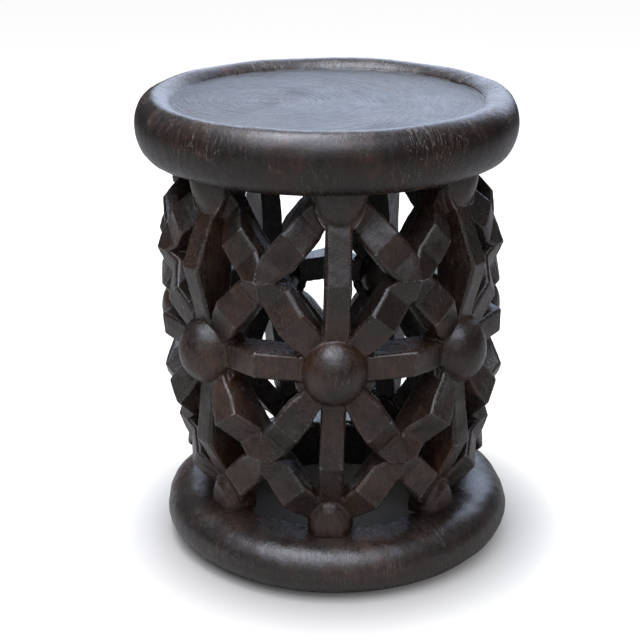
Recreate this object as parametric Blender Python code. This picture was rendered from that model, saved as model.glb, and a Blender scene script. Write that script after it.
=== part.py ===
"""A carved wooden spider stool, in metres, +Z up, standing on z = 0.

A dished seat and a ring base are joined by an openwork wall of spiders. Each spider is a domed body with
square legs that bend outwards to a knee, where they meet the legs of the spiders next to it. The middle row
has whole spiders with eight legs. The upper and lower rows are half spiders, cut off by the seat and the base.
The stool is carved from one log, so every piece meets its neighbours face to face along the carver's own lines.
"""

import math

import bmesh
import bpy
from mathutils import Vector

# Driving sizes: heights
BASE_HEIGHT = 0.053
WALL_HEIGHT = 0.341
SEAT_LOWER_SWELL = 0.033
SEAT_UPPER_SWELL = 0.030
DISH_DEPTH = 0.007
MIDDLE_ROW_RISE = 0.174
UPPER_KNEE_RISE = 0.086
LOWER_KNEE_DROP = 0.094
RAIL_KNEE_RISE = 0.007
LOWER_BODY_RISE = 0.006

# Driving sizes: radii of the seat and the base
SEAT_RADIUS = 0.183
SEAT_RIM_WIDTH = 0.021
BASE_RADIUS = 0.1765
BASE_ROLL_WIDTH = 0.030
BASE_HOLE_RADIUS = 0.118
BASE_EDGE_ROUND = 0.004

# Driving sizes: radii of the wall's hollow core, of the legs at the bodies and of the legs at the knees
CORE_HEAD_RADIUS = 0.126
CORE_WAIST_RADIUS = 0.136
CORE_FOOT_RADIUS = 0.115
UPPER_ROOT_RADIUS = 0.143
MIDDLE_ROOT_RADIUS = 0.152
LOWER_ROOT_RADIUS = 0.128
UPPER_KNEE_RADIUS = 0.171
RAIL_KNEE_RADIUS = 0.174
LOWER_KNEE_RADIUS = 0.160

# Driving sizes: the slanting legs' shoulders and grooves beside the crossings, row by row
SHOULDER_LENGTH = 0.050
GROOVE_LENGTH = 0.023
UPPER_SHOULDER_LENGTH = 0.061
UPPER_GROOVE_LENGTH = 0.028
UPPER_SHOULDER_RADIUS = 0.160
UPPER_GROOVE_RADIUS = 0.161
MIDDLE_UP_SHOULDER_RADIUS = 0.167
MIDDLE_UP_GROOVE_RADIUS = 0.158
MIDDLE_DOWN_SHOULDER_RADIUS = 0.170
MIDDLE_DOWN_GROOVE_RADIUS = 0.151
LOWER_SHOULDER_RADIUS = 0.153
LOWER_GROOVE_RADIUS = 0.149

# Driving sizes: spiders
COLUMNS = 7
POST_WIDTH = 0.023
RAIL_WIDTH = 0.025
BRACE_WIDTH = 0.024
LEG_EDGE_CHAMFER = 0.002
LEG_ROOT_START = 0.011
UPPER_BODY_RADIUS = 0.0260
UPPER_BODY_STRETCH = 1.45
UPPER_BODY_DOME = 0.016
MIDDLE_BODY_RADIUS = 0.030
MIDDLE_BODY_STRETCH = 1.10
MIDDLE_BODY_DOME = 0.025
MIDDLE_BODY_WEB = 0.008
LOWER_BODY_RADIUS = 0.0215
LOWER_BODY_STRETCH = 1.55
LOWER_BODY_DOME = 0.014
BODY_SINK = 0.004
BODY_BACK = 0.003

# Hand-made lean and twist: the seat's centre against the base's, and the columns' turn for each metre of height
SEAT_OFFSET = -0.0096
COLUMN_TWIST = math.radians(22.0)
FRONT_COLUMN_ANGLE = math.radians(1.2)

# Clearance between touching pieces, and the fineness of round forms
GAP = 0.0003
TURN_STEPS = 60
ARC_STEPS = 6
BODY_STEPS = 16
DOME_STEPS = 4
ROUND_DOME_END = 90
BLUNT_DOME_END = 55
TRIM_MARGIN = 0.02
MERGE_DISTANCE = 1e-6

# Worked-out heights and places
SEAT_BOTTOM = BASE_HEIGHT + WALL_HEIGHT
SEAT_EQUATOR = SEAT_BOTTOM + SEAT_LOWER_SWELL
SEAT_TOP = SEAT_EQUATOR + SEAT_UPPER_SWELL
DISH_FLOOR = SEAT_TOP - DISH_DEPTH
MIDDLE_ROW = BASE_HEIGHT + MIDDLE_ROW_RISE
UPPER_KNEE = MIDDLE_ROW + UPPER_KNEE_RISE
LOWER_KNEE = MIDDLE_ROW - LOWER_KNEE_DROP
RAIL_KNEE = MIDDLE_ROW + RAIL_KNEE_RISE
UPPER_ROW = SEAT_BOTTOM
LOWER_ROW = BASE_HEIGHT + LOWER_BODY_RISE
COLUMN_ANGLE = 2 * math.pi / COLUMNS
# The origin is under the middle of the stool's outline, so the leaning axis starts a little to one side of it
OUTLINE_LEFT = SEAT_OFFSET - SEAT_RADIUS
OUTLINE_RIGHT = max(BASE_RADIUS, SEAT_OFFSET + SEAT_RADIUS)
BASE_CENTRE_X = -(OUTLINE_LEFT + OUTLINE_RIGHT) / 2


def axis_x(height):
    """Where the leaning axis of the stool stands at this height."""
    return BASE_CENTRE_X + SEAT_OFFSET * height / SEAT_EQUATOR


def core_radius(height):
    """Radius of the hollow core: widest at the middle row, narrower at the seat and at the base."""
    if height > MIDDLE_ROW:
        share = (height - MIDDLE_ROW) / (SEAT_BOTTOM - MIDDLE_ROW)
        return CORE_WAIST_RADIUS + (CORE_HEAD_RADIUS - CORE_WAIST_RADIUS) * share
    share = (MIDDLE_ROW - height) / (MIDDLE_ROW - BASE_HEIGHT)
    return CORE_WAIST_RADIUS + (CORE_FOOT_RADIUS - CORE_WAIST_RADIUS) * share


def on_wall(angle, radius, height):
    """A point of the wall. Angle 0 is the front, at -Y, and grows towards +X before the columns' twist."""
    turned = FRONT_COLUMN_ANGLE + angle + COLUMN_TWIST * (height - MIDDLE_ROW)
    return Vector((axis_x(height) + radius * math.sin(turned), -radius * math.cos(turned), height))


def ellipse_arc(centre, half_width, half_height, start, end, steps):
    """Points (radius, height) of an ellipse's arc, between two angles in degrees."""
    angles = [math.radians(start + (end - start) * step / steps) for step in range(steps + 1)]
    return [
        (centre[0] + half_width * math.cos(angle), centre[1] + half_height * math.sin(angle))
        for angle in angles
    ]


def stained_wood():
    """Dark stained and waxed hardwood."""
    material = bpy.data.materials.new("stained_wood")
    material.use_nodes = True
    shader = material.node_tree.nodes["Principled BSDF"]
    shader.inputs["Base Color"].default_value = (0.026, 0.017, 0.013, 1.0)
    shader.inputs["Roughness"].default_value = 0.42
    shader.inputs["Metallic"].default_value = 0.0
    return material


def add_object(name, bm, helper=False):
    """The mesh as an object with its normals outwards. A helper shapes other objects and isn't a piece."""
    bmesh.ops.recalc_face_normals(bm, faces=bm.faces)
    mesh = bpy.data.meshes.new(name)
    bm.to_mesh(mesh)
    bm.free()
    obj = bpy.data.objects.new(name, mesh)
    bpy.context.scene.collection.objects.link(obj)
    if helper:
        obj.hide_render = True
        obj.display_type = "WIRE"
    else:
        mesh.materials.append(WOOD)
    return obj


def turned_piece(name, profile, centre_x):
    """A profile of (radius, height) points turned about a vertical axis. It is closed, or ends on the axis."""
    bm = bmesh.new()
    points = [bm.verts.new((radius, 0, height)) for radius, height in profile]
    edges = [bm.edges.new(pair) for pair in zip(points, points[1:])]
    if profile[0][0] > 0:
        edges.append(bm.edges.new((points[-1], points[0])))
    bmesh.ops.spin(
        bm,
        geom=points + edges,
        cent=(0, 0, 0),
        axis=(0, 0, 1),
        angle=2 * math.pi,
        steps=TURN_STEPS,
        use_merge=True,
    )
    bmesh.ops.remove_doubles(bm, verts=bm.verts, dist=MERGE_DISTANCE)
    obj = add_object(name, bm)
    obj.data.shade_smooth()
    obj.data.set_sharp_from_angle(angle=math.radians(30))
    obj.location.x = centre_x
    return obj


def seat():
    """The round seat: a swollen rim round a shallow dish, with a flat underside."""
    middle = (SEAT_RADIUS - SEAT_RIM_WIDTH, SEAT_EQUATOR)
    dish_angle = 180 - math.degrees(math.asin((DISH_FLOOR - SEAT_EQUATOR) / SEAT_UPPER_SWELL))
    rim_top = ellipse_arc(middle, SEAT_RIM_WIDTH, SEAT_UPPER_SWELL, dish_angle, 0, 2 * ARC_STEPS)
    rim_below = ellipse_arc(middle, SEAT_RIM_WIDTH, SEAT_LOWER_SWELL, 0, -90, ARC_STEPS)
    profile = [(0, DISH_FLOOR), *rim_top, *rim_below[1:], (0, SEAT_BOTTOM)]
    return turned_piece("seat", profile, axis_x(SEAT_EQUATOR))


def base_ring():
    """The ring that the stool stands on: rolled outside, flat above and below, with a hole as wide as the core."""
    middle = (BASE_RADIUS - BASE_ROLL_WIDTH, BASE_HEIGHT / 2)
    roll = ellipse_arc(middle, BASE_ROLL_WIDTH, BASE_HEIGHT / 2, 90, -90, 2 * ARC_STEPS)
    inner_edge = BASE_HOLE_RADIUS + BASE_EDGE_ROUND
    profile = [
        *roll,
        (inner_edge, 0),
        (BASE_HOLE_RADIUS, BASE_EDGE_ROUND),
        (BASE_HOLE_RADIUS, BASE_HEIGHT - BASE_EDGE_ROUND),
        (inner_edge, BASE_HEIGHT),
    ]
    return turned_piece("base_ring", profile, axis_x(0))


def leg_section(angle, height, along, width, outer_radius):
    """A leg's six-sided section: square, with its two outer edges taken off.

    along is the leg's direction on the unrolled wall, as (round the wall, up the wall).
    """
    half = width / 2
    inner_radius = core_radius(height)
    outline = [
        (-half, inner_radius),
        (half, inner_radius),
        (half, outer_radius - LEG_EDGE_CHAMFER),
        (half - LEG_EDGE_CHAMFER, outer_radius),
        (-half + LEG_EDGE_CHAMFER, outer_radius),
        (-half, outer_radius - LEG_EDGE_CHAMFER),
    ]
    return [
        on_wall(angle + side * along[1] / radius, radius, height - side * along[0])
        for side, radius in outline
    ]


def add_leg(bm, start, end, width, root_radius, knee_radius, bends=()):
    """Lofts a leg into bm from start to end, both (angle, height), and a little past the end.

    bends lists (distance left to the end, outer radius) between the root and the knee.
    """
    reach = (end[0] - start[0]) * knee_radius, end[1] - start[1]
    length = math.hypot(*reach)
    along = reach[0] / length, reach[1] / length
    stations = [(length - LEG_ROOT_START, root_radius), *bends]
    last_left, last_radius = stations[-1]
    rise_past_knee = (knee_radius - last_radius) * TRIM_MARGIN / last_left
    stations.append((-TRIM_MARGIN, knee_radius + rise_past_knee))
    rings = []
    for left, outer_radius in stations:
        share = 1 - left / length
        angle = start[0] + (end[0] - start[0]) * share
        height = start[1] + (end[1] - start[1]) * share
        section = leg_section(angle, height, along, width, outer_radius)
        points = [bm.verts.new(point) for point in section]
        rings.append([bm.edges.new((points[i - 1], points[i])) for i in range(len(points))])
    for first, second in zip(rings, rings[1:]):
        bmesh.ops.bridge_loops(bm, edges=first + second)
    bmesh.ops.holes_fill(bm, edges=rings[0] + rings[-1])


def add_braces(bm, start, knee, root_radius, shoulder, groove, knee_radius):
    """Two slanting legs: each rises to a shoulder, runs on to a groove and rises again to the crossing's ridge.

    shoulder and groove are (distance left to the crossing, outer radius).
    """
    for side in (-COLUMN_ANGLE / 2, COLUMN_ANGLE / 2):
        add_leg(bm, start, (start[0] + side, knee), BRACE_WIDTH, root_radius, knee_radius, (shoulder, groove))


def spider_body(name, angle, height, body_radius, stretch, root_radius, dome, dome_end, web=0):
    """The spider's body: an upright oval boss from the core to the legs' roots, with a round or blunt dome.

    web is how far the boss runs out past the dome, to fill the crotches between the legs.
    """
    foot = on_wall(angle, 0, height)
    out = (on_wall(angle, 1, height) - foot).normalized()
    up = Vector((0, 0, 1))
    back = core_radius(height) - BODY_BACK
    full_dome = (dome + BODY_SINK) / math.sin(math.radians(dome_end))
    dome_arc = ellipse_arc((0, root_radius - BODY_SINK), body_radius, full_dome, 0, dome_end, DOME_STEPS)
    boss = [(body_radius + web, back), (body_radius + web, root_radius - BODY_SINK)]
    profile = [(0, back), *boss, *dome_arc[0 if web else 1:], (0, root_radius + dome)]
    bm = bmesh.new()
    points = [bm.verts.new(foot + out * distance + up * radius) for radius, distance in profile]
    edges = [bm.edges.new(pair) for pair in zip(points, points[1:])]
    bmesh.ops.spin(
        bm, geom=points + edges, cent=foot, axis=out, angle=2 * math.pi, steps=BODY_STEPS, use_merge=True
    )
    bmesh.ops.remove_doubles(bm, verts=bm.verts, dist=MERGE_DISTANCE)
    for vert in bm.verts:
        vert.co.z = height + (vert.co.z - height) * stretch
    return add_object(name, bm)


def cell(name, angle, low, high):
    """The block of space that one spider fills, between its neighbours' shared planes."""
    bm = bmesh.new()
    bmesh.ops.create_cube(bm, size=4 * SEAT_TOP)
    middle = (low + high) / 2
    inside = on_wall(angle, UPPER_KNEE_RADIUS, middle)
    planes = [(Vector((0, 0, low)), Vector((0, 0, -1))), (Vector((0, 0, high)), Vector((0, 0, 1)))]
    for side in (-COLUMN_ANGLE / 2, COLUMN_ANGLE / 2):
        below = on_wall(angle + side, UPPER_KNEE_RADIUS, low)
        above = on_wall(angle + side, UPPER_KNEE_RADIUS, high)
        behind = on_wall(angle + side, 0, middle)
        normal = (above - below).cross(behind - below).normalized()
        if normal.dot(inside - below) > 0:
            normal.negate()
        planes.append((below - normal * GAP / 2, normal))
    for point, normal in planes:
        cut = bmesh.ops.bisect_plane(
            bm,
            geom=[*bm.verts, *bm.edges, *bm.faces],
            plane_co=point,
            plane_no=normal,
            clear_outer=True,
        )
        rim = [piece for piece in cut["geom_cut"] if isinstance(piece, bmesh.types.BMEdge)]
        bmesh.ops.holes_fill(bm, edges=rim)
    return add_object(name, bm, helper=True)


def add_boolean(obj, operation, other, use_self=False):
    """Joins obj with a helper, or keeps what lies inside it."""
    modifier = obj.modifiers.new(operation.title(), "BOOLEAN")
    modifier.operation = operation
    modifier.solver = "EXACT"
    modifier.use_self = use_self
    modifier.object = other


def carve_spider(body, legs, angle, low, high):
    """Joins the legs to the body and trims them where they meet the neighbours' legs."""
    joined_legs = add_object(body.name + "_legs", legs, helper=True)
    add_boolean(body, "UNION", joined_legs, use_self=True)
    add_boolean(body, "INTERSECT", cell(body.name + "_cell", angle, low, high))
    return body


def middle_spider(index):
    """A whole spider: two posts, two rails and four braces round a large domed body."""
    angle = index * COLUMN_ANGLE
    centre = (angle, MIDDLE_ROW)
    legs = bmesh.new()
    add_leg(legs, centre, (angle, UPPER_KNEE), POST_WIDTH, MIDDLE_ROOT_RADIUS, UPPER_KNEE_RADIUS)
    add_leg(legs, centre, (angle, LOWER_KNEE), POST_WIDTH, MIDDLE_ROOT_RADIUS, LOWER_KNEE_RADIUS)
    for side in (-COLUMN_ANGLE / 2, COLUMN_ANGLE / 2):
        add_leg(legs, centre, (angle + side, RAIL_KNEE), RAIL_WIDTH, MIDDLE_ROOT_RADIUS, RAIL_KNEE_RADIUS)
    add_braces(
        legs,
        centre,
        UPPER_KNEE,
        MIDDLE_ROOT_RADIUS,
        (SHOULDER_LENGTH, MIDDLE_UP_SHOULDER_RADIUS),
        (GROOVE_LENGTH, MIDDLE_UP_GROOVE_RADIUS),
        UPPER_KNEE_RADIUS,
    )
    add_braces(
        legs,
        centre,
        LOWER_KNEE,
        MIDDLE_ROOT_RADIUS,
        (SHOULDER_LENGTH, MIDDLE_DOWN_SHOULDER_RADIUS),
        (GROOVE_LENGTH, MIDDLE_DOWN_GROOVE_RADIUS),
        LOWER_KNEE_RADIUS,
    )
    body = spider_body(
        f"spider_{index + 1}",
        angle,
        MIDDLE_ROW,
        MIDDLE_BODY_RADIUS,
        MIDDLE_BODY_STRETCH,
        MIDDLE_ROOT_RADIUS,
        MIDDLE_BODY_DOME,
        ROUND_DOME_END,
        MIDDLE_BODY_WEB,
    )
    return carve_spider(body, legs, angle, LOWER_KNEE + GAP / 2, UPPER_KNEE - GAP / 2)


def upper_spider(index):
    """A half spider that hangs under the seat: half an egg-shaped body, one post and two braces."""
    angle = index * COLUMN_ANGLE
    centre = (angle, UPPER_ROW)
    legs = bmesh.new()
    add_leg(legs, centre, (angle, UPPER_KNEE), POST_WIDTH, UPPER_ROOT_RADIUS, UPPER_KNEE_RADIUS)
    add_braces(
        legs,
        centre,
        UPPER_KNEE,
        UPPER_ROOT_RADIUS,
        (UPPER_SHOULDER_LENGTH, UPPER_SHOULDER_RADIUS),
        (UPPER_GROOVE_LENGTH, UPPER_GROOVE_RADIUS),
        UPPER_KNEE_RADIUS,
    )
    body = spider_body(
        f"upper_spider_{index + 1}",
        angle,
        UPPER_ROW,
        UPPER_BODY_RADIUS,
        UPPER_BODY_STRETCH,
        UPPER_ROOT_RADIUS,
        UPPER_BODY_DOME,
        ROUND_DOME_END,
    )
    return carve_spider(body, legs, angle, UPPER_KNEE + GAP / 2, SEAT_BOTTOM - GAP)


def lower_spider(index):
    """A half spider that stands on the base ring: a blunt knob, one post and two braces."""
    angle = index * COLUMN_ANGLE
    centre = (angle, LOWER_ROW)
    legs = bmesh.new()
    add_leg(legs, centre, (angle, LOWER_KNEE), POST_WIDTH, LOWER_ROOT_RADIUS, LOWER_KNEE_RADIUS)
    add_braces(
        legs,
        centre,
        LOWER_KNEE,
        LOWER_ROOT_RADIUS,
        (SHOULDER_LENGTH, LOWER_SHOULDER_RADIUS),
        (GROOVE_LENGTH, LOWER_GROOVE_RADIUS),
        LOWER_KNEE_RADIUS,
    )
    body = spider_body(
        f"lower_spider_{index + 1}",
        angle,
        LOWER_ROW,
        LOWER_BODY_RADIUS,
        LOWER_BODY_STRETCH,
        LOWER_ROOT_RADIUS,
        LOWER_BODY_DOME,
        BLUNT_DOME_END,
    )
    return carve_spider(body, legs, angle, BASE_HEIGHT + GAP, LOWER_KNEE - GAP / 2)


for old in list(bpy.data.objects):
    bpy.data.objects.remove(old)
WOOD = stained_wood()
seat()
base_ring()
for column in range(COLUMNS):
    upper_spider(column)
    middle_spider(column)
    lower_spider(column)
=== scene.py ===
# %% [markdown]
# # A carved spider stool
# The stool is one piece of dark stained hardwood: a dished seat, a ring base, and an openwork wall of
# spiders between them. The CAD part gives every form its place and size. Here the same forms get what a
# knife, an adze and years of use leave on wood: softened edges, tool marks, cracks, wear and waxed stain.

# %% Load the frame
import math

import bmesh
import bpy
import numpy as np
from mathutils import Matrix, Vector


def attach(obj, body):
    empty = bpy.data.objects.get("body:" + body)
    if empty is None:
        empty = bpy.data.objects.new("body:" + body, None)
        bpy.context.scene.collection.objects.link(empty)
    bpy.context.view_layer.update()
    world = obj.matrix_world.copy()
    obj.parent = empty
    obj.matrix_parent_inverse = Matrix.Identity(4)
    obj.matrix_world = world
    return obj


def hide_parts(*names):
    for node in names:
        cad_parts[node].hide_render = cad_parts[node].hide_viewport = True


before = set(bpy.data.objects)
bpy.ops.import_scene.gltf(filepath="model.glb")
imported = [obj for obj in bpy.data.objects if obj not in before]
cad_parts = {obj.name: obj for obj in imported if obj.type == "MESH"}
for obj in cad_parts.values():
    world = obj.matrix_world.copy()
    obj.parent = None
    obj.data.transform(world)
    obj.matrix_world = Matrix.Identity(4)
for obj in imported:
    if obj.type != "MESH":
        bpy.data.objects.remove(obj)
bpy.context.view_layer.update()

# %% [markdown]
# ## Camera, floor and light
# The camera was fitted to the outlines of the seat, the dish and the base. It stands 1.37 m from the stool
# and looks down at it by about 21 degrees. Dark waxed wood shows its form by what it mirrors, so the light
# is an open sky: the world is brighter overhead than at the horizon, a wide faint panel stands in front, two
# strong ones hang above, and one behind the stool gives the dish its sheen. To the camera alone the sky is
# white, and the floor glows away from the stool.

# %% Camera
SEAT_RADIUS = 0.183
AIM = Vector((0.008, 0.0, 1.173 * SEAT_RADIUS))
DISTANCE = 7.5 * SEAT_RADIUS
ELEVATION = math.radians(20.6)

camera = bpy.data.objects.new("camera", bpy.data.cameras.new("camera"))
bpy.context.scene.collection.objects.link(camera)
camera.location = AIM + DISTANCE * Vector((0, -math.cos(ELEVATION), math.sin(ELEVATION)))
camera.rotation_euler = (math.pi / 2 - ELEVATION, 0, 0)
camera.data.lens = 76.4
camera.data.shift_x = -0.0264
camera.data.shift_y = 0.0094
bpy.context.scene.camera = camera
bpy.context.scene.view_settings.view_transform = "Standard"


# %% Small helpers for colours, shader nodes and objects
def srgb(code):
    """An sRGB hex colour as linear RGBA."""
    parts = [int(code[i : i + 2], 16) / 255 for i in (1, 3, 5)]
    linear = [p / 12.92 if p <= 0.04045 else ((p + 0.055) / 1.055) ** 2.4 for p in parts]
    return (*linear, 1.0)


def add_node(tree, kind, sockets, **settings):
    """Adds a shader node. sockets maps an input to a value, or to an output that is linked into it."""
    node = tree.nodes.new(kind)
    for name, value in settings.items():
        setattr(node, name, value)
    for key, value in sockets.items():
        if isinstance(value, bpy.types.NodeSocket):
            tree.links.new(value, node.inputs[key])
        else:
            node.inputs[key].default_value = value
    return node


def add_object(name, bm):
    """An object from a bmesh, linked into the scene."""
    mesh = bpy.data.meshes.new(name)
    bm.to_mesh(mesh)
    bm.free()
    obj = bpy.data.objects.new(name, mesh)
    bpy.context.scene.collection.objects.link(obj)
    return obj


# %% Floor
floor_bm = bmesh.new()
bmesh.ops.create_grid(floor_bm, x_segments=1, y_segments=1, size=8)
floor = add_object("floor", floor_bm)
floor_paint = bpy.data.materials.new("floor_matt_pale")
floor_paint.use_nodes = True
floor_shader = floor_paint.node_tree.nodes["Principled BSDF"]
floor_shader.inputs["Base Color"].default_value = srgb("#a29e99")
floor_shader.inputs["Roughness"].default_value = 0.9
floor_shader.inputs["Specular IOR Level"].default_value = 0.1
floor_shader.inputs["Emission Color"].default_value = srgb("#ffffff")
floor_tree = floor_paint.node_tree
floor_ray = add_node(floor_tree, "ShaderNodeLightPath", {})
floor_place = add_node(floor_tree, "ShaderNodeTexCoord", {}).outputs["Object"]
floor_far = add_node(floor_tree, "ShaderNodeVectorMath", {"Vector": floor_place}, operation="LENGTH")
floor_pale = add_node(
    floor_tree,
    "ShaderNodeMapRange",
    {"Value": floor_far.outputs["Value"], "From Min": 0.15, "From Max": 0.27, "To Min": 0.0, "To Max": 0.87},
)
floor_glow = add_node(
    floor_tree,
    "ShaderNodeMath",
    {0: floor_ray.outputs["Is Camera Ray"], 1: floor_pale.outputs["Result"]},
    operation="MULTIPLY",
)
floor_tree.links.new(floor_glow.outputs[0], floor_shader.inputs["Emission Strength"])
floor.data.materials.append(floor_paint)


# %% Sky and panels
def add_panel(name, width, height, place, target, radiance, colour):
    """A rectangular area light that points at target. radiance is its brightness, where 1 is white."""
    light = bpy.data.lights.new(name, "AREA")
    light.shape = "RECTANGLE"
    light.size = width
    light.size_y = height
    light.energy = radiance * math.pi * width * height
    light.color = srgb(colour)[:3]
    panel = bpy.data.objects.new(name, light)
    panel.location = place
    panel.rotation_euler = (Vector(target) - Vector(place)).to_track_quat("-Z", "Y").to_euler()
    bpy.context.scene.collection.objects.link(panel)


world = bpy.data.worlds.new("soft_sky")
world.use_nodes = True
sky = world.node_tree
direction = add_node(sky, "ShaderNodeTexCoord", {}).outputs["Generated"]
upwards = add_node(sky, "ShaderNodeSeparateXYZ", {"Vector": direction}).outputs["Z"]
sky_level = add_node(
    sky,
    "ShaderNodeMapRange",
    {"Value": upwards, "From Min": 0.0, "From Max": 0.9, "To Min": 0.05, "To Max": 0.3},
)
sky_ray = add_node(sky, "ShaderNodeLightPath", {})
sky_shown = add_node(
    sky,
    "ShaderNodeMath",
    {0: sky_level.outputs["Result"], 1: sky_ray.outputs["Is Camera Ray"]},
    operation="MAXIMUM",
)
sky.nodes["Background"].inputs["Color"].default_value = srgb("#eef3ff")
sky.links.new(sky_shown.outputs[0], sky.nodes["Background"].inputs["Strength"])
bpy.context.scene.world = world
stool_middle = (0, 0, 0.3)
add_panel("front_sky_panel", 4.0, 1.4, (-0.4, -2.3, 1.2), stool_middle, 0.7, "#f3f6ff")
add_panel("top_sky_panel", 2.2, 1.3, (-0.3, -1.0, 2.0), stool_middle, 5.2, "#e9f0ff")
add_panel("back_sky_panel", 1.9, 1.3, (0.42, 1.75, 1.15), stool_middle, 2.8, "#d5e4ff")
add_panel("high_sky_panel", 1.3, 0.8, (-0.35, 0.1, 2.2), stool_middle, 14.0, "#eef3ff")
print("lights: soft sky and four panels")

# %% [markdown]
# ## The wall of spiders
# In the real stool the wall is one piece of wood, so the legs run into each other without a seam. The CAD
# pieces are copied, swollen by a fraction of a millimetre so that they touch, and melted together on a fine
# voxel grid. The grid also breaks the sharp edges, as carving and wear do. The domes of the bodies are added
# as smooth ellipsoids, because the CAD's domes have flat facets.

# %% Places on the wall
COLUMNS = 7
PITCH = 2 * math.pi / COLUMNS
UPPER_ROW = 0.394
MIDDLE_ROW = 0.227
LOWER_ROW = 0.059
UPPER_KNEE = 0.313
LOWER_KNEE = 0.133
TWIST = math.radians(22.0)
FRONT_ANGLE = math.radians(1.2)
SEAT_HEIGHT = 0.427
FOOT_X = 0.00805
LEAN = 0.0096


def axis_x(height):
    """The stool leans: its axis moves to the left with height."""
    return FOOT_X - LEAN * height / SEAT_HEIGHT


def on_wall(column, radius, height):
    """A point of the wall on a column's middle line, and the outward direction there."""
    turn = FRONT_ANGLE + column * 2 * math.pi / COLUMNS + TWIST * (height - MIDDLE_ROW)
    out = Vector((math.sin(turn), -math.cos(turn), 0))
    return out * radius + Vector((axis_x(height), 0, height)), out


def add_dome(bm, column, height, radius, half_width, half_height, half_depth):
    """A smooth ellipsoid for a spider's body."""
    place, out = on_wall(column, radius, height)
    across = Vector((0, 0, 1)).cross(out)
    turn = Matrix((across, out, Vector((0, 0, 1)))).transposed().to_4x4()
    size = Matrix.Diagonal((half_width, half_depth, half_height, 1))
    bmesh.ops.create_uvsphere(
        bm, u_segments=48, v_segments=32, radius=1, matrix=Matrix.Translation(place) @ turn @ size
    )


# %% Melt the pieces together
def copy_of_node(name):
    """A merged copy of a CAD node's mesh, as a bmesh."""
    bm = bmesh.new()
    bm.from_mesh(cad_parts[name].data)
    bmesh.ops.remove_doubles(bm, verts=bm.verts, dist=1e-5)
    bmesh.ops.recalc_face_normals(bm, faces=bm.faces)
    return bm


def melted(bm, voxel, smoothing):
    """The mesh melted on a voxel grid and smoothed."""
    obj = add_object("melt", bm)
    remesh = obj.modifiers.new("Remesh", "REMESH")
    remesh.mode = "VOXEL"
    remesh.voxel_size = voxel
    smooth = obj.modifiers.new("Smooth", "SMOOTH")
    smooth.factor = 0.5
    smooth.iterations = smoothing
    result = bpy.data.meshes.new_from_object(obj.evaluated_get(bpy.context.evaluated_depsgraph_get()))
    bpy.data.objects.remove(obj)
    return result


SWELL = 0.00025
VOXEL = 0.0011
UPPER_DOME = 0.3945
wall_nodes = [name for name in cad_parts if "spider" in name]
wall_bm = bmesh.new()
for name in wall_nodes:
    piece_bm = copy_of_node(name)
    for vert in piece_bm.verts:
        vert.co += vert.normal * SWELL
    piece_mesh = bpy.data.meshes.new("swollen")
    piece_bm.to_mesh(piece_mesh)
    piece_bm.free()
    wall_bm.from_mesh(piece_mesh)
    bpy.data.meshes.remove(piece_mesh)
for column in range(COLUMNS):
    add_dome(wall_bm, column, MIDDLE_ROW, 0.1465, half_width=0.0308, half_height=0.0338, half_depth=0.0312)
    add_dome(wall_bm, column, UPPER_DOME, 0.1385, half_width=0.0266, half_height=0.0382, half_depth=0.0216)
wall_mesh = melted(wall_bm, VOXEL, smoothing=1)
print("wall:", len(wall_mesh.vertices), "vertices")

# %% [markdown]
# ## Uneven surfaces
# A hand's unevenness is made from fields of waves. The pale arrises, partly wear and partly a painted
# highlight, follow how strongly a surface bends. These functions work on all vertices of a mesh at once.


# %% Fields of waves
def wave_field(points, wavelength, seed, waves=9, stretch=(1, 1, 1)):
    """A smooth random field, about -1 to 1, made from sine waves in random directions."""
    rng = np.random.default_rng(seed)
    total = np.zeros(len(points))
    scaled = points / np.array(stretch)
    for _ in range(waves):
        direction = rng.normal(size=3)
        direction *= 2 * math.pi / wavelength * rng.uniform(0.6, 1.5) / np.linalg.norm(direction)
        total += np.sin(scaled @ direction + rng.uniform(0, 2 * math.pi))
    return total / math.sqrt(waves)


def read(mesh_items, name, width):
    """An attribute of mesh elements as an array."""
    values = np.empty(len(mesh_items) * width)
    mesh_items.foreach_get(name, values)
    return values.reshape(-1, width) if width > 1 else values


def write(mesh, name, values):
    """Keeps a number for each vertex, as an attribute that a material can read."""
    attribute = mesh.attributes.new(name, "FLOAT", "POINT")
    attribute.data.foreach_set("value", values.astype(np.float32))


def edge_pairs(mesh):
    """The vertex numbers of every edge."""
    pairs = np.empty(len(mesh.edges) * 2, dtype=np.int64)
    mesh.edges.foreach_get("vertices", pairs)
    return pairs.reshape(-1, 2)


def neighbour_mean(values, pairs):
    """The mean of each vertex's neighbours."""
    total = np.zeros_like(values)
    count = np.zeros(len(values))
    for here, there in ((0, 1), (1, 0)):
        np.add.at(total, pairs[:, here], values[pairs[:, there]])
        np.add.at(count, pairs[:, here], 1)
    return total / np.maximum(count, 1).reshape((-1,) + (1,) * (values.ndim - 1))


def neighbour_square(spacing, pairs, count):
    """The mean squared distance from each vertex to its neighbours."""
    total = np.zeros(count)
    number = np.zeros(count)
    for here in (0, 1):
        np.add.at(total, pairs[:, here], spacing**2)
        np.add.at(number, pairs[:, here], 1)
    return total / np.maximum(number, 1)


def curvature(mesh, rounds=2):
    """How strongly the surface bends at each vertex, per millimetre: edges are positive, hollows negative."""
    points = read(mesh.vertices, "co", 3) * 1000
    normals = read(mesh.vertices, "normal", 3)
    pairs = edge_pairs(mesh)
    spacing = np.linalg.norm(points[pairs[:, 0]] - points[pairs[:, 1]], axis=1)
    mean = points
    for _ in range(rounds):
        mean = neighbour_mean(mean, pairs)
    spread = rounds * np.maximum(neighbour_square(spacing, pairs, len(points)), 0.01)
    return 2 * ((points - mean) * normals).sum(axis=1) / spread


# %% [markdown]
# ## Broad legs and thin necks
# The slanting legs are about a quarter broader than the CAD's. The upper ones also have steep shoulders and
# thin necks beside the bodies. Both are carved by moving the wall's vertices, by their distance along a leg
# and across it.

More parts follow.
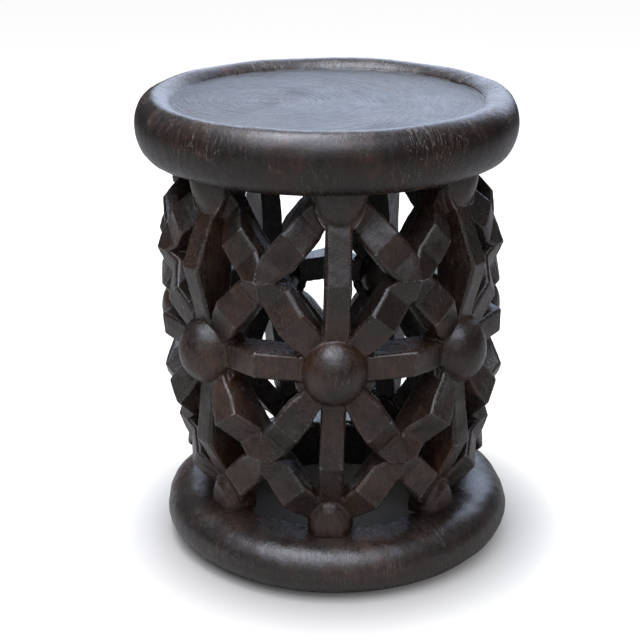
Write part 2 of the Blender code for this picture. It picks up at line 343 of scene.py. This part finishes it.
# %% Breadth and shoulders of the slanting legs
CORE_RADIUS = 0.126
LEG_RADIUS = 0.165
POST_HALF_WIDTH = 0.0125
LEG_REACH = 0.018
BROADENING = 0.27


def carve_legs(points, row, knee, body_width, body_height, shoulders=None):
    """Broadens the slanting legs between a row of bodies and the crossings at the height knee.

    left is the distance along a leg to the crossing, across the distance from the leg's middle line.
    shoulders gives the outer radius at some distances left, before and after the carving.
    """
    height = points[:, 2].copy()
    side = points[:, 0] - axis_x(height)
    radius = np.hypot(side, points[:, 1])
    turn = np.arctan2(side, -points[:, 1])
    on_column = turn - FRONT_ANGLE - TWIST * (height - MIDDLE_ROW)
    off_turn = on_column - PITCH * np.round(on_column / PITCH)
    from_post = np.abs(off_turn) * LEG_RADIUS
    leg = np.array([LEG_RADIUS * PITCH / 2, knee - row])
    length = np.linalg.norm(leg)
    leg /= length
    left = length - from_post * leg[0] - (height - row) * leg[1]
    across = (height - row) * leg[0] - from_post * leg[1]
    off_body = np.hypot(from_post / body_width, (height - row) / body_height)
    on_leg = np.clip((from_post - POST_HALF_WIDTH) / 0.003, 0, 1) * np.clip((off_body - 1) / 0.1, 0, 1)
    between = ((height - row) * (knee - row) > 0) & ((knee - height) * (knee - row) > 0)
    on_leg *= between & (radius > CORE_RADIUS)
    if shoulders:
        left_at, solid_radius, cut_radius = shoulders
        cut = np.interp(left, left_at, cut_radius) - CORE_RADIUS
        share = cut / (np.interp(left, left_at, solid_radius) - CORE_RADIUS)
        radius = CORE_RADIUS + (radius - CORE_RADIUS) * (1 + on_leg * (share - 1))
    broad = np.interp(left, (0.008, 0.024, 0.066, 0.082), (0, 1, 1, 0)) * on_leg
    outer = np.clip((radius - 0.134) / 0.012, 0, 1)
    spread = BROADENING * across * broad * (np.abs(across) < LEG_REACH) * outer
    turn -= np.sign(off_turn) * spread * leg[1] / LEG_RADIUS
    points[:, 0] = axis_x(height) + np.sin(turn) * radius
    points[:, 1] = -np.cos(turn) * radius
    points[:, 2] = height + spread * leg[0]


points = read(wall_mesh.vertices, "co", 3)
left_at = (0, 0.0226, 0.028, 0.047, 0.061, 0.068, 0.100)
solid_at = (0.171, 0.1629, 0.161, 0.1604, 0.160, 0.1569, 0.143)
carved_at = (0.171, 0.1605, 0.1604, 0.160, 0.1497, 0.1445, 0.142)
shoulders = (left_at, solid_at, carved_at)
carve_legs(points, UPPER_ROW, UPPER_KNEE, body_width=0.0266, body_height=0.0382, shoulders=shoulders)
for knee in (UPPER_KNEE, LOWER_KNEE):
    carve_legs(points, MIDDLE_ROW, knee, body_width=0.0315, body_height=0.0345)
carve_legs(points, LOWER_ROW, LOWER_KNEE, body_width=0.0225, body_height=0.0345)
wall_mesh.vertices.foreach_set("co", points.ravel())
wall_mesh.update()
print("slanting legs:", 8 * COLUMNS)

# %% [markdown]
# ## Marks of the knife
# Every flat facet was cut by hand, so none is quite flat. A slow wobble bends the facets by about 0.4 mm,
# and small scallops follow the grain.

# %% Knife marks on the wall
normals = read(wall_mesh.vertices, "normal", 3)
wobble = 0.0004 * wave_field(points, 0.055, 1) + 0.00012 * wave_field(points, 0.018, 2)
scallop = 0.00006 * wave_field(points, 0.0065, 3, stretch=(1, 1, 1.6))
points += normals * (wobble + scallop)[:, None]
wall_mesh.vertices.foreach_set("co", points.ravel())
wall_mesh.update()
wall_edges = curvature(wall_mesh)
print("wall edges:", np.round(np.percentile(wall_edges, [1, 50, 90, 99]), 3))

# %% [markdown]
# ## Back into named pieces
# The melted wall is cut along the knees into the same pieces as the CAD part, so that each piece stands for
# one CAD node. Neighbours share their border, and they keep the whole wall's normals, so no seam shows.


# %% Cut the wall along the knees
def piece_object(name, points, faces, normals, edges):
    """A piece with the wall's own normals and its edge values."""
    mesh = bpy.data.meshes.new(name)
    mesh.from_pydata(points, [], faces)
    mesh.shade_smooth()
    write(mesh, "edge", edges)
    mesh.normals_split_custom_set_from_vertices(normals.tolist())
    obj = bpy.data.objects.new(name, mesh)
    bpy.context.scene.collection.objects.link(obj)
    return obj


points = read(wall_mesh.vertices, "co", 3)
normals = read(wall_mesh.vertices, "normal", 3)
corners = np.empty(len(wall_mesh.loops), dtype=np.int64)
wall_mesh.loops.foreach_get("vertex_index", corners)
faces = corners.reshape(-1, 4)
middles = points[faces].mean(axis=1)
turns = np.arctan2(middles[:, 0] - axis_x(middles[:, 2]), -middles[:, 1])
turns -= FRONT_ANGLE + TWIST * (middles[:, 2] - MIDDLE_ROW)
columns = np.round(turns / PITCH).astype(int) % COLUMNS
rows = np.where(middles[:, 2] > UPPER_KNEE, 2, np.where(middles[:, 2] < LOWER_KNEE, 0, 1))
row_names = ("lower_spider", "spider", "upper_spider")
wall_pieces = []
for row in range(3):
    for column in range(COLUMNS):
        own = faces[(rows == row) & (columns == column)]
        used, renumbered = np.unique(own, return_inverse=True)
        node = f"{row_names[row]}_{column + 1}"
        piece = piece_object(
            node + "_carved", points[used], renumbered.reshape(-1, 4), normals[used], wall_edges[used]
        )
        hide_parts(node)
        wall_pieces.append(piece)
bpy.data.meshes.remove(wall_mesh)
print("wall pieces:", len(wall_pieces))

# %% [markdown]
# ## The seat
# The seat is turned from its profile: a flat underside, a swollen rim with its crest, a ledge below the
# crest, and the shallow dish. The dish shows the log's end grain: growth rings about a heart that lies left
# of the middle and a little towards the front, with ridges where soft wood has worn away between them.


# %% Turn a profile
def turned(name, profile, centre_x, steps):
    """A profile of (radius, height) points spun about a vertical axis, with merged poles."""
    bm = bmesh.new()
    verts = [bm.verts.new((centre_x + radius, 0, height)) for radius, height in profile]
    edges = [bm.edges.new(pair) for pair in zip(verts, verts[1:])]
    bmesh.ops.spin(
        bm,
        geom=verts + edges,
        cent=(centre_x, 0, 0),
        axis=(0, 0, 1),
        angle=2 * math.pi,
        steps=steps,
        use_merge=True,
    )
    bmesh.ops.remove_doubles(bm, verts=bm.verts, dist=1e-6)
    bmesh.ops.recalc_face_normals(bm, faces=bm.faces)
    obj = add_object(name, bm)
    obj.data.shade_smooth()
    return obj


def along(points, step):
    """Points set at even steps along a line of corner points."""
    line = np.array(points)
    lengths = np.concatenate([[0], np.cumsum(np.linalg.norm(np.diff(line, axis=0), axis=1))])
    places = np.linspace(0, lengths[-1], max(2, round(lengths[-1] / step) + 1))
    return [(np.interp(p, lengths, line[:, 0]), np.interp(p, lengths, line[:, 1])) for p in places]


def ellipse(centre, half_width, half_height, start, end, count=40):
    """Points of an ellipse's arc between two angles in degrees."""
    angles = np.radians(np.linspace(start, end, count))
    return list(zip(centre[0] + half_width * np.cos(angles), centre[1] + half_height * np.sin(angles)))


SEAT_X = axis_x(SEAT_HEIGHT)
CREST = (0.165, 0.457)
LEDGE = (0.1490, 0.4492)
step = 0.0019
slope = [
    (LEDGE[0] + (CREST[0] - LEDGE[0]) * t, CREST[1] - (CREST[1] - LEDGE[1]) * (1 - t) ** 2)
    for t in np.linspace(0, 1, 24)
]
seat_profile = [
    *along([(0, 0.4480), (0.1485, 0.4478)], step),
    *along([*slope, *ellipse((CREST[0], SEAT_HEIGHT), 0.018, 0.030, 90, 0)[1:]], step),
    *along([*ellipse((0.162, SEAT_HEIGHT), 0.021, 0.033, 0, -90)[1:], (0, 0.394)], step),
]
seat = turned("seat_carved", seat_profile, SEAT_X, 640)
print("seat:", len(seat.data.polygons), "faces")

# %% [markdown]
# The rings are cut into the floor of the dish as real ridges. The rim gets its wobble, fine tool marks and
# open drying cracks, two of them at the front right. Last, the top leans a little down to the front.


# %% Carve the seat
def cracks(turn, height_along, places, seed):
    """Depth, 0 to 1, of drying cracks. Each place is (angle in degrees, half width in degrees, from, to)."""
    rng = np.random.default_rng(seed)
    depth = np.zeros(len(turn))
    for angle, half_width, low, high in places:
        bend = np.radians(0.4) * np.sin(height_along * rng.uniform(60, 140) + rng.uniform(0, 6))
        off = np.abs((turn - math.radians(angle) - bend + math.pi) % (2 * math.pi) - math.pi)
        across = np.clip(1 - off / math.radians(half_width), 0, 1)
        ends = np.clip((height_along - low) / 0.004, 0, 1) * np.clip((high - height_along) / 0.004, 0, 1)
        depth = np.maximum(depth, across * ends)
    return depth


HEART = np.array([-0.053, -0.010])
RING_PITCH = 0.0058
RING_HEIGHT = 0.00024
CRACK_DEPTH = 0.0016
FORWARD_LEAN = 0.0065
points = read(seat.data.vertices, "co", 3)
normals = read(seat.data.vertices, "normal", 3)
from_axis = np.hypot(points[:, 0] - SEAT_X, points[:, 1])
seat_turn = np.arctan2(points[:, 0] - SEAT_X, -points[:, 1])
on_dish = (points[:, 2] > 0.446) & (from_axis < 0.1488)
from_heart = np.hypot(*(points[:, :2] - HEART).T) + 0.003 * wave_field(points, 0.07, 11)
worn_away = np.clip(0.5 + 0.6 * wave_field(points, 0.05, 12), 0, 1.3)
rings = np.sin(from_heart * 2 * math.pi / RING_PITCH) * worn_away
dish_cut = RING_HEIGHT * rings + 0.0001 * wave_field(points, 0.06, 13)
dish_cut += 0.00008 * wave_field(points, 0.012, 14)
rim_cut = 0.0005 * wave_field(points, 0.11, 15) + 0.00012 * wave_field(points, 0.02, 16)
rim_cracks = (
    (26.0, 0.3, 0.4425, 0.4585),
    (30.0, 0.3, 0.4410, 0.4585),
    (-62.0, 0.3, 0.4300, 0.4520),
    (118.0, 0.4, 0.4300, 0.4585),
)
crack_depth = cracks(seat_turn, points[:, 2], rim_cracks, 6) * (from_axis > 0.150)
shift = np.where(on_dish, dish_cut, rim_cut) - CRACK_DEPTH * crack_depth
points += normals * shift[:, None]
forward = 0.5 - points[:, 1] / (2 * CREST[0])
points[:, 2] -= FORWARD_LEAN * forward * np.clip((points[:, 2] - SEAT_HEIGHT) / 0.030, 0, 1)
seat.data.vertices.foreach_set("co", points.ravel())
seat.data.update()
write(seat.data, "edge", curvature(seat.data))
write(seat.data, "mark", crack_depth)
write(seat.data, "ring", from_heart)
write(seat.data, "dish", on_dish)
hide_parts("seat")

# %% [markdown]
# ## The base ring
# The base is a thick rolled ring. Its inner upper edge was broken away with the adze and never cleaned up.

# %% Turn and carve the base
BASE_X = axis_x(0)
CHIP_DEPTH = 0.0032
roll = (0.1465, 0.0265)
base_profile = along(
    [
        *ellipse(roll, 0.030, 0.0265, 90, -90),
        (0.122, 0),
        (0.118, 0.004),
        (0.118, 0.049),
        (0.1195, 0.0518),
        (0.122, 0.053),
        (0.1465, 0.053),
    ],
    0.0019,
)
base = turned("base_ring_carved", base_profile, BASE_X, 600)
points = read(base.data.vertices, "co", 3)
normals = read(base.data.vertices, "normal", 3)
from_axis = np.hypot(points[:, 0] - BASE_X, points[:, 1])
rough = 0.0007 * wave_field(points, 0.10, 21) + 0.00018 * wave_field(points, 0.02, 22)
broken = np.clip((points[:, 2] - 0.040) / 0.01, 0, 1) * np.clip((0.126 - from_axis) / 0.006, 0, 1)
chips = np.clip(wave_field(points, 0.016, 23) + 0.3, 0, 1.4) * broken
off_floor = np.where(points[:, 2] < 0.006, 0.0, 1.0)
shift = rough * off_floor - CHIP_DEPTH * chips
points += normals * shift[:, None]
points[:, 2] = np.maximum(points[:, 2], 0)
base.data.vertices.foreach_set("co", points.ravel())
base.data.update()
write(base.data, "edge", curvature(base.data))
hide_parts("base_ring")
print("base:", len(base.data.polygons), "faces")

# %% [markdown]
# ## Stained and waxed wood
# The wood is a hardwood, stained nearly black and rubbed with wax. The stain is thin where hands and feet
# rub it: brown comes through in patches. The arrises are pale lines, partly worn and partly a painted
# highlight. The grain stands upright, because the stool follows the log, so the noise of the grain is
# stretched along Z. Drying opened fine hairline cracks.


# %% Hairline cracks
def scale_of(size):
    """The scale of a noise whose marks are about size millimetres wide."""
    return 1000 / size


def hairlines(tree, flow, size):
    """Thin lines where a noise passes its middle value. flow is a place squeezed along the cracks."""
    value = add_node(
        tree, "ShaderNodeTexNoise", {"Vector": flow, "Scale": scale_of(size), "Detail": 2.0, "Roughness": 0.5}
    )
    middle = add_node(tree, "ShaderNodeMath", {0: value.outputs["Fac"], 1: 0.5}, operation="SUBTRACT")
    off = add_node(tree, "ShaderNodeMath", {0: middle.outputs[0]}, operation="ABSOLUTE")
    line = add_node(
        tree,
        "ShaderNodeMapRange",
        {"Value": off.outputs[0], "From Min": 0.003, "From Max": 0.011, "To Min": 1.0, "To Max": 0.0},
    )
    return line.outputs["Result"]


def around_axis(tree, place, centre_x, squeeze):
    """The place as arc length, height and distance, so that a pattern runs round a turned piece."""
    parts = add_node(tree, "ShaderNodeSeparateXYZ", {"Vector": place}).outputs
    side = add_node(tree, "ShaderNodeMath", {0: parts["X"], 1: centre_x}, operation="SUBTRACT")
    turn = add_node(tree, "ShaderNodeMath", {0: side.outputs[0], 1: parts["Y"]}, operation="ARCTAN2")
    arc = add_node(tree, "ShaderNodeMath", {0: turn.outputs[0], 1: 0.17}, operation="MULTIPLY")
    out = add_node(tree, "ShaderNodeVectorMath", {"Vector": place}, operation="LENGTH")
    flow = add_node(
        tree, "ShaderNodeCombineXYZ", {"X": arc.outputs[0], "Y": parts["Z"], "Z": out.outputs["Value"]}
    )
    squeezed = add_node(
        tree, "ShaderNodeMapping", {"Vector": flow.outputs[0], "Scale": (1.0, squeeze, squeeze)}
    )
    return squeezed.outputs["Vector"]


# %% [markdown]
# The wood's colour is built in layers, mostly as the surface was: stain, thin brown patches, reddish rubbed
# spots, the grain's streaks, pale specks, arrises that are partly worn and partly a painted highlight,
# cracks, and the dish's rings, whose cool grey is partly a painted sky reflection. Roughness follows the
# rubbing, and the bump takes the grain, the cracks, the rings and small pits.


# %% The wood
def stained_wood(name, stain, brown, red, pale_marks_and_glint, grain_size, gloss, wax, dry, axis=None):
    """Dark stained and waxed hardwood, its edges pale with wear and with a painted highlight.

    wax is the shader's specular level, dry how much the hairline cracks show. axis is the X of a turned
    piece's middle: its cracks then run over the roll, not up the grain.
    """
    material = bpy.data.materials.new(name)
    material.use_nodes = True
    tree = material.node_tree
    shader = tree.nodes["Principled BSDF"]
    place = add_node(tree, "ShaderNodeTexCoord", {}).outputs["Object"]
    edge = add_node(tree, "ShaderNodeAttribute", {}, attribute_name="edge").outputs["Fac"]
    mark = add_node(tree, "ShaderNodeAttribute", {}, attribute_name="mark").outputs["Fac"]
    ring = add_node(tree, "ShaderNodeAttribute", {}, attribute_name="ring").outputs["Fac"]
    dish = add_node(tree, "ShaderNodeAttribute", {}, attribute_name="dish").outputs["Fac"]
    sockets = {"Vector": place, "Scale": (1.0, 1.0, 0.1)}
    upright = add_node(tree, "ShaderNodeMapping", sockets).outputs["Vector"]
    noises = {}
    for key, where, size, detail, roughness in (
        ("patches", place, 60, 5.0, 0.6),
        ("rub", place, 16, 5.0, 0.7),
        ("grain", upright, grain_size, 6.0, 0.65),
        ("pits", place, 1.8, 4.0, 0.7),
        ("dry", place, 45, 3.0, 0.6),
    ):
        sockets = {"Vector": where, "Scale": scale_of(size), "Detail": detail, "Roughness": roughness}
        noises[key] = add_node(tree, "ShaderNodeTexNoise", sockets).outputs["Fac"]
    sockets = {"Vector": place, "Scale": (0.06, 0.06, 0.0)}
    ring_flow = add_node(tree, "ShaderNodeMapping", sockets).outputs["Vector"]
    ring_place = add_node(tree, "ShaderNodeVectorMath", {0: ring_flow, 1: ring}, operation="ADD").outputs[0]
    sockets = {"Vector": ring_place, "Scale": scale_of(5.5), "Detail": 5.0, "Roughness": 0.7}
    noises["rings"] = add_node(tree, "ShaderNodeTexNoise", sockets).outputs["Fac"]
    masks = {}
    for key, value, low, high, bottom, top in (
        ("brown", noises["patches"], 0.42, 0.66, 0.0, 1.0),
        ("red_patch", noises["patches"], 0.5, 0.62, 0.0, 0.8),
        ("red_rub", noises["rub"], 0.5, 0.75, 0.0, 1.0),
        ("streaks", noises["grain"], 0.3, 0.75, 0.55, 1.35),
        ("specks", noises["pits"], 0.6, 0.74, 0.0, 0.45),
        ("speck_rub", noises["rub"], 0.4, 0.7, 0.0, 1.0),
        # The pale arris lines are partly edge wear and partly a painted highlight along the edges.
        ("arris_wear_and_glint", edge, 0.14, 0.36, 0.0, 1.0),
        ("arris_wear_and_glint_patches", noises["rub"], 0.34, 0.58, 0.15, 0.85),
        ("dry", noises["dry"], 0.44, 0.6, 0.0, dry),
        ("mark", mark, 0.15, 0.7, 0.0, 0.5),
        ("gloss", noises["rub"], 0.3, 0.7, *gloss),
        ("rings", noises["rings"], 0.34, 0.66, 0.0, 0.75),
    ):
        sockets = {"Value": value, "From Min": low, "From Max": high, "To Min": bottom, "To Max": top}
        masks[key] = add_node(tree, "ShaderNodeMapRange", sockets).outputs["Result"]
    flow = upright if axis is None else around_axis(tree, place, axis, 0.09)
    masks["lines"] = hairlines(tree, flow, 2.4)
    masks["dish"] = dish
    shares = {}
    for key, first, second in (
        ("red", "red_patch", "red_rub"),
        ("specks", "specks", "speck_rub"),
        ("arris_wear_and_glint", "arris_wear_and_glint", "arris_wear_and_glint_patches"),
        ("lines", "lines", "dry"),
        ("rings", "rings", "dish"),
    ):
        product = add_node(tree, "ShaderNodeMath", {0: masks[first], 1: masks[second]}, operation="MULTIPLY")
        shares[key] = product.outputs[0]
    dark = add_node(
        tree, "ShaderNodeMix", {"Factor": masks["brown"], 6: srgb(stain), 7: srgb(brown)}, data_type="RGBA"
    )
    reddish = add_node(
        tree, "ShaderNodeMix", {"Factor": shares["red"], 6: dark.outputs[2], 7: srgb(red)}, data_type="RGBA"
    )
    streaked = add_node(
        tree, "ShaderNodeVectorMath", {0: reddish.outputs[2], 1: masks["streaks"]}, operation="MULTIPLY"
    )
    colour = streaked.outputs[0]
    # The pale colour marks specks and cracks, and on the arrises it is partly wear and partly a painted
    # highlight.
    layers = [(shares[key], pale_marks_and_glint) for key in ("specks", "arris_wear_and_glint", "lines")]
    # The rings are painted a cool grey: paler worn end grain, with a painted sky reflection in its cool tint.
    for share, code in (*layers, (shares["rings"], "#565c60"), (masks["mark"], pale_marks_and_glint)):
        layer = add_node(tree, "ShaderNodeMix", {"Factor": share, 6: colour, 7: srgb(code)}, data_type="RGBA")
        colour = layer.outputs[2]
    tree.links.new(colour, shader.inputs["Base Color"])
    dull = add_node(
        tree, "ShaderNodeMath", {0: shares["rings"], 1: 0.3, 2: masks["gloss"]}, operation="MULTIPLY_ADD"
    )
    tree.links.new(dull.outputs[0], shader.inputs["Roughness"])
    shader.inputs["Specular IOR Level"].default_value = wax
    cracked = add_node(tree, "ShaderNodeMath", {0: noises["grain"], 1: shares["lines"]}, operation="SUBTRACT")
    height = add_node(
        tree, "ShaderNodeMath", {0: shares["rings"], 1: 4.0, 2: cracked.outputs[0]}, operation="MULTIPLY_ADD"
    )
    fine = add_node(
        tree, "ShaderNodeBump", {"Height": height.outputs[0], "Strength": 0.65, "Distance": 0.0005}
    )
    rough = add_node(
        tree,
        "ShaderNodeBump",
        {"Height": noises["pits"], "Normal": fine.outputs[0], "Strength": 0.6, "Distance": 0.0005},
    )
    tree.links.new(rough.outputs[0], shader.inputs["Normal"])
    return material


wall_wood = stained_wood(
    "hardwood_stained_knife_cut",
    stain="#221812",
    brown="#39251a",
    red="#52301f",
    pale_marks_and_glint="#8a8078",
    grain_size=3.5,
    gloss=(0.2, 0.36),
    wax=0.56,
    dry=0.35,
)
seat_wood = stained_wood(
    "hardwood_stained_rubbed",
    stain="#1f1917",
    brown="#2f211a",
    red="#5a3220",
    pale_marks_and_glint="#8f7f70",
    grain_size=4.0,
    gloss=(0.19, 0.33),
    wax=0.46,
    dry=0.7,
    axis=SEAT_X,
)
base_wood = stained_wood(
    "hardwood_stained_scuffed",
    stain="#211b18",
    brown="#33251e",
    red="#472b20",
    pale_marks_and_glint="#83776c",
    grain_size=4.5,
    gloss=(0.2, 0.36),
    wax=0.68,
    dry=0.5,
    axis=BASE_X,
)
for piece in wall_pieces:
    piece.data.materials.append(wall_wood)
seat.data.materials.append(seat_wood)
base.data.materials.append(base_wood)
for piece in (*wall_pieces, seat, base):
    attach(piece, "root")
print("woods:", wall_wood.name, seat_wood.name, base_wood.name)
